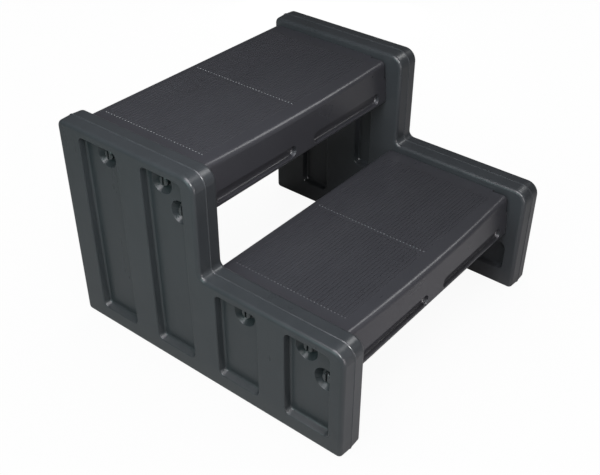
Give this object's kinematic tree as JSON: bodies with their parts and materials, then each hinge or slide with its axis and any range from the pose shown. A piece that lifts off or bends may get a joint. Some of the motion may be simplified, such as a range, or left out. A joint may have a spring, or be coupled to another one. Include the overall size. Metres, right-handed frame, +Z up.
{
  "type": "two-step ladder",
  "caption": "Free-standing step for a camper door: hollow stepped side panels with recessed flanks, joined by ribbed hollow treads screwed between them.",
  "frame": {"origin": "on the ground, midway between the side panels and midway from front to back", "axes": "+X along the treads to the right of a person who faces the steps, +Y from the low step to the high one, +Z up"},
  "size_m": [0.588, 0.581, 0.39],
  "materials": {
    "panel_plastic": "satin anthracite blown polyethylene with a fine grain",
    "tread_plastic": "satin anthracite blown polyethylene with fine grip ribs",
    "screw_steel": "black coated steel",
    "washer_steel": "black coated steel"
  },
  "bodies": {
    "root": {"screw_left_lower_front": "screw_steel", "screw_left_lower_middle": "screw_steel", "screw_left_lower_rear": "screw_steel", "screw_left_upper_front": "screw_steel", "screw_left_upper_middle": "screw_steel", "screw_left_upper_rear": "screw_steel", "screw_right_lower_front": "screw_steel", "screw_right_lower_middle": "screw_steel", "screw_right_lower_rear": "screw_steel", "screw_right_upper_front": "screw_steel", "screw_right_upper_middle": "screw_steel", "screw_right_upper_rear": "screw_steel", "side_panel_left": "panel_plastic", "side_panel_right": "panel_plastic", "tread_lower": "tread_plastic", "tread_upper": "tread_plastic", "washer_left_lower_front": "washer_steel", "washer_left_lower_middle": "washer_steel", "washer_left_lower_rear": "washer_steel", "washer_left_upper_front": "washer_steel", "washer_left_upper_middle": "washer_steel", "washer_left_upper_rear": "washer_steel", "washer_right_lower_front": "washer_steel", "washer_right_lower_middle": "washer_steel", "washer_right_lower_rear": "washer_steel", "washer_right_upper_front": "washer_steel", "washer_right_upper_middle": "washer_steel", "washer_right_upper_rear": "washer_steel"}
  },
  "joints": []
}
